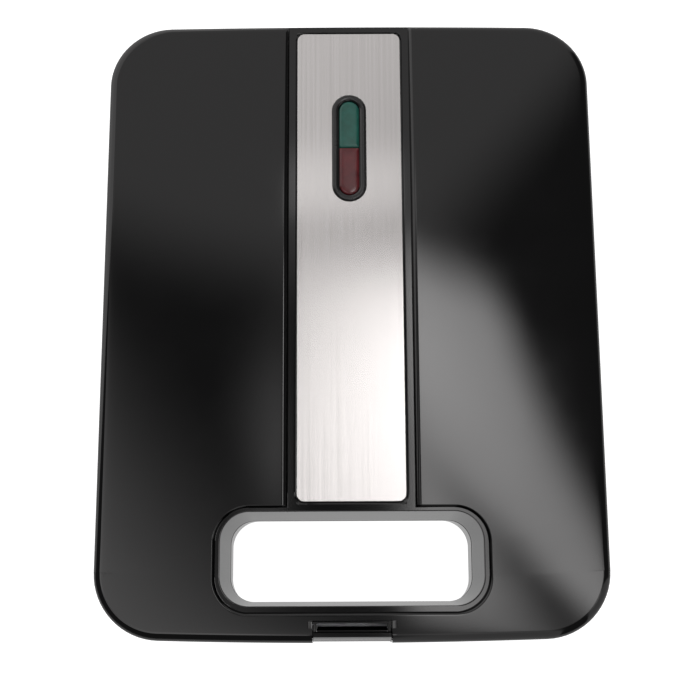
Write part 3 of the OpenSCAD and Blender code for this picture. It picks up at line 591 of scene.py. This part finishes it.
def nodeGroup(name, inputs, outputs):
    group = bpy.data.node_groups.new(name, "ShaderNodeTree")
    for label, kind, value in inputs:
        socket = group.interface.new_socket(name=label, in_out="INPUT", socket_type=kind)
        if value is not None:
            socket.default_value = value
    for label, kind in outputs:
        group.interface.new_socket(name=label, in_out="OUTPUT", socket_type=kind)
    return group, group.nodes.new("NodeGroupInput"), group.nodes.new("NodeGroupOutput")


# A node with its settings, its sockets fed by values or by other sockets.
def addNode(tree, kind, links=(), **settings):
    node = tree.nodes.new(kind)
    for key, value in settings.items():
        setattr(node, key, value)
    for socket, value in dict(links).items():
        if isinstance(value, bpy.types.NodeSocket):
            tree.links.new(value, node.inputs[socket])
        else:
            node.inputs[socket].default_value = value
    return node


def math2(tree, operation, a, b=None, clamp=False):
    links = {0: a} if b is None else {0: a, 1: b}
    return addNode(tree, "ShaderNodeMath", links, operation=operation, use_clamp=clamp).outputs[0]


def mixed(tree, factor, a, b):
    node = addNode(tree, "ShaderNodeMix", {0: factor, 6: a, 7: b}, data_type="RGBA")
    return node.outputs[2]


def ranged(tree, value, low, high, toLow=0.0, toHigh=1.0, kind="LINEAR"):
    return addNode(tree, "ShaderNodeMapRange", {0: value, 1: low, 2: high, 3: toLow, 4: toHigh},
                   interpolation_type=kind).outputs[0]


# Moulding grain: fine noise for the height, and a slow mottle for the gloss.
def grainGroup():
    group, inn, out = nodeGroup("mouldGrain", [("Scale", "NodeSocketFloat", 1600.0),
                                               ("Mottle", "NodeSocketFloat", 22.0)],
                                [("Height", "NodeSocketFloat"), ("Patch", "NodeSocketFloat")])
    where = group.nodes.new("ShaderNodeTexCoord").outputs["Object"]
    fine = addNode(group, "ShaderNodeTexNoise", {"Vector": where, "Scale": inn.outputs["Scale"],
                                                 "Detail": 2.0, "Roughness": 0.55})
    patch = addNode(group, "ShaderNodeTexNoise", {"Vector": where, "Scale": inn.outputs["Mottle"],
                                                  "Detail": 3.0, "Roughness": 0.6})
    group.links.new(fine.outputs["Fac"], out.inputs["Height"])
    group.links.new(ranged(group, patch.outputs["Fac"], 0.35, 0.65), out.inputs["Patch"])
    return group


# Brush marks: noise drawn out along y, in a coarse and a fine layer.
def brushGroup():
    group, inn, out = nodeGroup("brushMarks", [("Across", "NodeSocketFloat", 2600.0),
                                               ("Along", "NodeSocketFloat", 26.0)],
                                [("Height", "NodeSocketFloat"), ("Tone", "NodeSocketFloat")])
    where = group.nodes.new("ShaderNodeTexCoord").outputs["Object"]
    stretch = addNode(group, "ShaderNodeCombineXYZ", {0: inn.outputs["Across"],
                                                      1: inn.outputs["Along"], 2: 40.0}).outputs[0]
    place = addNode(group, "ShaderNodeVectorMath", {0: where, 1: stretch},
                    operation="MULTIPLY").outputs[0]
    fine = addNode(group, "ShaderNodeTexNoise", {"Vector": place, "Scale": 1.0, "Detail": 2.0})
    wide = addNode(group, "ShaderNodeTexNoise", {"Vector": place, "Scale": 0.23, "Detail": 3.0})
    both = math2(group, "ADD", math2(group, "MULTIPLY", fine.outputs["Fac"], 0.6),
                 math2(group, "MULTIPLY", wide.outputs["Fac"], 0.4))
    group.links.new(both, out.inputs["Height"])
    group.links.new(ranged(group, wide.outputs["Fac"], 0.3, 0.7), out.inputs["Tone"])
    return group


# Sprayed coating: small pits and pale specks from a cell pattern.
def speckGroup():
    group, inn, out = nodeGroup("sprayedSpecks", [("Scale", "NodeSocketFloat", 900.0)],
                                [("Height", "NodeSocketFloat"), ("Speck", "NodeSocketFloat")])
    where = group.nodes.new("ShaderNodeTexCoord").outputs["Object"]
    cells = addNode(group, "ShaderNodeTexVoronoi", {"Vector": where, "Scale": inn.outputs["Scale"]})
    noise = addNode(group, "ShaderNodeTexNoise", {"Vector": where, "Scale": 2400.0, "Detail": 2.0})
    group.links.new(noise.outputs["Fac"], out.inputs["Height"])
    group.links.new(ranged(group, cells.outputs["Distance"], 0.16, 0.05), out.inputs["Speck"])
    return group


grain, brush, specks = grainGroup(), brushGroup(), speckGroup()


def newMaterial(name):
    material = bpy.data.materials.new(name)
    material.use_nodes = True
    tree = material.node_tree
    return material, tree, tree.nodes["Principled BSDF"]


def placed(tree, group, **values):
    node = addNode(tree, "ShaderNodeGroup", node_tree=group)
    for key, value in values.items():
        node.inputs[key].default_value = value
    return node


def bumped(tree, shader, height, distance, strength=1.0):
    bump = addNode(tree, "ShaderNodeBump", {"Height": height, "Distance": distance,
                                            "Strength": strength})
    tree.links.new(bump.outputs["Normal"], shader.inputs["Normal"])


# Moulded plastic: its colour and gloss wander between two values, with fine grain on top.
def plastic(name, dark, pale, gloss, dull, grainScale, grainDepth, mottle=22.0, **sockets):
    material, tree, shader = newMaterial(name)
    marks = placed(tree, grain, Scale=grainScale, Mottle=mottle)
    tree.links.new(mixed(tree, marks.outputs["Patch"], (*dark, 1), (*pale, 1)),
                   shader.inputs["Base Color"])
    tree.links.new(ranged(tree, marks.outputs["Patch"], 0, 1, gloss, dull),
                   shader.inputs["Roughness"])
    bumped(tree, shader, marks.outputs["Height"], grainDepth)
    for key, value in sockets.items():
        shader.inputs[key].default_value = value
    return material


# Drawn or brushed metal: its tone, gloss and height follow the brush marks.
def metal(name, dark, pale, rough, across, along, depth, **sockets):
    material, tree, shader = newMaterial(name)
    marks = placed(tree, brush, Across=across, Along=along)
    tree.links.new(mixed(tree, marks.outputs["Tone"], (*dark, 1), (*pale, 1)),
                   shader.inputs["Base Color"])
    tree.links.new(ranged(tree, marks.outputs["Tone"], 0, 1, rough[0], rough[1]),
                   shader.inputs["Roughness"])
    shader.inputs["Metallic"].default_value = 1.0
    if "Anisotropic" in sockets:
        lay = addNode(tree, "ShaderNodeTangent", direction_type="UV_MAP", uv_map="across")
        tree.links.new(lay.outputs["Tangent"], shader.inputs["Tangent"])
    bumped(tree, shader, marks.outputs["Height"], depth)
    for key, value in sockets.items():
        shader.inputs[key].default_value = value
    return material


glossBlack = plastic("glossBlack", (0.0014, 0.0014, 0.0016), (0.002, 0.002, 0.0022),
                     0.05, 0.08, 1500.0, 0.000003, 16.0)
mattBlack = plastic("mattBlack", (0.012, 0.012, 0.013), (0.018, 0.018, 0.019),
                    0.38, 0.5, 2200.0, 0.00002)
bezelBlack = plastic("bezelBlack", (0.006, 0.006, 0.006), (0.009, 0.009, 0.009),
                     0.2, 0.28, 2600.0, 0.000004)
greenPlastic = plastic("greenLensPlastic", (0.004, 0.075, 0.055), (0.008, 0.12, 0.09),
                       0.16, 0.24, 900.0, 0.000006, 90.0)
redPlastic = plastic("redLensPlastic", (0.085, 0.006, 0.009), (0.14, 0.012, 0.016),
                     0.16, 0.24, 900.0, 0.000006, 90.0)
whitePlastic = plastic("whiteCeramic", (0.62, 0.6, 0.54), (0.74, 0.72, 0.66),
                       0.45, 0.6, 1400.0, 0.00001)
leadSleeve = plastic("leadSleeve", (0.58, 0.5, 0.34), (0.78, 0.72, 0.56),
                     0.6, 0.8, 2600.0, 0.00006, 300.0)
footRubber = plastic("footRubber", (0.02, 0.02, 0.02), (0.035, 0.034, 0.033),
                     0.7, 0.85, 1800.0, 0.00003)
lampGlass = plastic("lampGlass", (0.75, 0.45, 0.3), (0.85, 0.6, 0.45), 0.08, 0.12, 600.0, 0.000003)
brushedSteel = metal("brushedSteel", (0.59, 0.569, 0.56), (0.66, 0.639, 0.63), (0.15, 0.19),
                     2600.0, 26.0, 0.000006, Anisotropic=1.0)
zincSteel = metal("zincSteel", (0.42, 0.43, 0.45), (0.6, 0.61, 0.62), (0.3, 0.45),
                  260.0, 180.0, 0.00001)
pinSteel = metal("pinSteel", (0.55, 0.55, 0.56), (0.68, 0.68, 0.69), (0.18, 0.28),
                 900.0, 900.0, 0.000004)


def coatedPlate():
    material, tree, shader = newMaterial("nonStickCoating")
    marks = placed(tree, specks, Scale=900.0)
    wander = placed(tree, grain, Scale=1200.0, Mottle=14.0)
    ground = mixed(tree, wander.outputs["Patch"], (0.018, 0.018, 0.019, 1),
                   (0.028, 0.028, 0.029, 1))
    tree.links.new(mixed(tree, math2(tree, "MULTIPLY", marks.outputs["Speck"], 0.35), ground,
                         (0.16, 0.16, 0.165, 1)), shader.inputs["Base Color"])
    tree.links.new(ranged(tree, wander.outputs["Patch"], 0, 1, 0.3, 0.42),
                   shader.inputs["Roughness"])
    bumped(tree, shader, marks.outputs["Height"], 0.000018)
    return material


coating = coatedPlate()
print("materials")

# Which piece rides where, replaces what and is painted with what.

slotPaint = {"gloss_black": glossBlack, "matt_black": mattBlack, "brushed_strip": brushedSteel,
             "green_plastic": greenPlastic, "red_plastic": redPlastic, "lamp_glass": lampGlass,
             "white_plastic": whitePlastic, "lead_sleeve": leadSleeve, "coated_plate": coating,
             "foot_rubber": footRubber, "plated_steel": zincSteel, "hinge_steel": pinSteel}
slotOf = {part["node"]: part["material_slot"] for part in frame["record"]["subparts"]}
bodyOf = {node: name for name, members in frame["record"]["behaviour"]["bodies"].items()
          for node in members}
dressed = {"lid_cover": lidCover, "base_cover": baseCover, "indicator_bezel": bezel,
           "green_lens": lenses[0], "red_lens": lenses[1], "lower_plate": lowerPlate,
           "upper_plate": upperPlate, **softPieces}
for node, cadPiece in frame["nodes"].items():
    paint = bezelBlack if node == "indicator_bezel" else slotPaint[slotOf[node]]
    cadPiece.data.materials.clear()
    cadPiece.data.materials.append(paint)
    if node in dressed:
        piece = dressed[node]
        piece.data.materials.clear()
        piece.data.materials.append(paint)
        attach(piece, bodyOf[node])
        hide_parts(node)
print("dressed", len(dressed), "of", len(frame["nodes"]))

# Floor, light and camera.

# The floor glows more towards the camera than in the toaster's own reflections.
studio = {"floorGlow": 1.06, "floorMirrored": 0.45, "floorTone": 0.45, "reach": 6.0,
          "background": 1.0, "gloom": 0.118, "horizon": 0.03}


def studioFloor():
    h = studio["reach"] / 2 / mm
    corners = [(-h, -h, 0), (h, -h, 0), (h, h, 0), (-h, h, 0)]
    floor = addPiece("studioFloor", meshFrom("studioFloor", corners, [(0, 1, 2, 3)]))
    material, tree, shader = newMaterial("paleFloor")
    marks = placed(tree, grain, Scale=300.0, Mottle=3.0)
    tone = studio["floorTone"]
    tree.links.new(mixed(tree, marks.outputs["Patch"], (tone, tone, tone, 1),
                         (tone + 0.01, tone + 0.01, tone + 0.01, 1)), shader.inputs["Base Color"])
    shader.inputs["Roughness"].default_value = 0.9
    shader.inputs["Specular IOR Level"].default_value = 0.0
    shader.inputs["Emission Color"].default_value = (1, 1, 1, 1)
    direct = tree.nodes.new("ShaderNodeLightPath").outputs["Is Camera Ray"]
    tree.links.new(ranged(tree, direct, 0, 1, studio["floorMirrored"], studio["floorGlow"]),
                   shader.inputs["Emission Strength"])
    floor.data.materials.append(material)


# Soft panels in the sky. A direction is read where it meets a level plane one unit above the
# toaster, as (u, v); a panel is the product of soft straight edges a u + b v + c > 0.
def studioSky():
    world = bpy.data.worlds.new("studio")
    bpy.context.scene.world = world
    world.use_nodes = True
    tree = world.node_tree
    tree.nodes.clear()
    way = tree.nodes.new("ShaderNodeTexCoord").outputs["Generated"]
    parts = addNode(tree, "ShaderNodeSeparateXYZ", {0: way}).outputs
    rise = math2(tree, "MAXIMUM", parts[2], studio["horizon"])
    spot = addNode(tree, "ShaderNodeCombineXYZ", {0: math2(tree, "DIVIDE", parts[0], rise),
                                                  1: math2(tree, "DIVIDE", parts[1], rise),
                                                  2: 1.0}).outputs[0]

    def edge(a, b, c, width):
        across = addNode(tree, "ShaderNodeVectorMath", {0: spot, 1: (a, b, c)},
                         operation="DOT_PRODUCT").outputs["Value"]
        return ranged(tree, across, -width / 2, width / 2, kind="SMOOTHSTEP")

    def panel(strength, *edges):
        value = strength
        for e in edges:
            value = math2(tree, "MULTIPLY", e, value)
        return value

    behind = panel(0.634, edge(0.198, 0.98, -0.254, 0.109), edge(-0.73, 0.683, -0.1395, 0.099),
                   edge(1, 0, 0.3, 0.06))
    behindLeft = panel(1.2, edge(-1, 0, -0.3, 0.06), edge(0, 1, -0.322, 0.03))
    bar = panel(1.2, edge(1, 0, 0.05, 0.02), edge(-1, 0, 0.05, 0.02), edge(0, 1, -0.318, 0.02),
                edge(0, -1, 0.37, 0.04))
    key = panel(4.26, edge(-0.74, -0.673, 0.211, 0.11), edge(1, 0, -0.055, 0.03),
                edge(0.165, 0.986, 0.033, 0.092))
    core = panel(5.04, edge(-0.347, -0.938, 0.292, 0.072), edge(-0.854, -0.521, 0.39, 0.096),
                 edge(1, 0, -0.055, 0.04), edge(-0.942, -0.335, 0.23, 0.054),
                 edge(0.515, 0.857, -0.192, 0.17))
    leftFront = panel(1.0, edge(1, 0, 0.42, 0.2), edge(0, 1, 0.3, 0.2), math2(
        tree, "MINIMUM", panel(72.0, edge(-0.74, -0.673, -1.0235, 2.09)), 2.0))
    middle = panel(14.0, edge(0.806, 0.592, 0.0017, 0.087), edge(-1, 0, -0.05, 0.03),
                   edge(0.882, -0.472, -0.052, 0.507))
    front = panel(0.68, edge(1, 0, -0.06, 0.08), edge(-0.078, -0.997, -0.0353, 0.02))
    total = studio["gloom"]
    for value in (behind, behindLeft, bar, key, core, leftFront, middle, front):
        total = math2(tree, "ADD", value, total)
    streak = panel(0.865, edge(0.935, 0.354, -0.1228, 0.077), edge(-0.69, -0.724, 0.128, 0.041))
    total = math2(tree, "MULTIPLY", total, math2(tree, "SUBTRACT", 1.0, streak))
    seen = tree.nodes.new("ShaderNodeLightPath").outputs["Is Camera Ray"]
    light = addNode(tree, "ShaderNodeBackground", {0: (1.0, 0.985, 0.985, 1), 1: total})
    backdrop = addNode(tree, "ShaderNodeBackground", {0: (1, 1, 1, 1), 1: studio["background"]})
    both = addNode(tree, "ShaderNodeMixShader", {0: seen, 1: light.outputs[0],
                                                 2: backdrop.outputs[0]})
    out = tree.nodes.new("ShaderNodeOutputWorld")
    tree.links.new(both.outputs[0], out.inputs[0])


camera = {"place": (-0.0058, -0.1592, 0.7725), "turn": (11.827, 0.0625, -0.263), "lens": 65.65}


def studioCamera():
    data = bpy.data.cameras.new("photoCamera")
    data.lens = camera["lens"]
    data.sensor_width = 36.0
    data.clip_start = 0.01
    data.clip_end = 50.0
    eye = bpy.data.objects.new("photoCamera", data)
    eye.location = camera["place"]
    eye.rotation_euler = [math.radians(a) for a in camera["turn"]]
    bpy.context.scene.collection.objects.link(eye)
    bpy.context.scene.camera = eye


studioFloor()
studioSky()
studioCamera()
bpy.context.scene.view_settings.view_transform = "Standard"
print("studio")
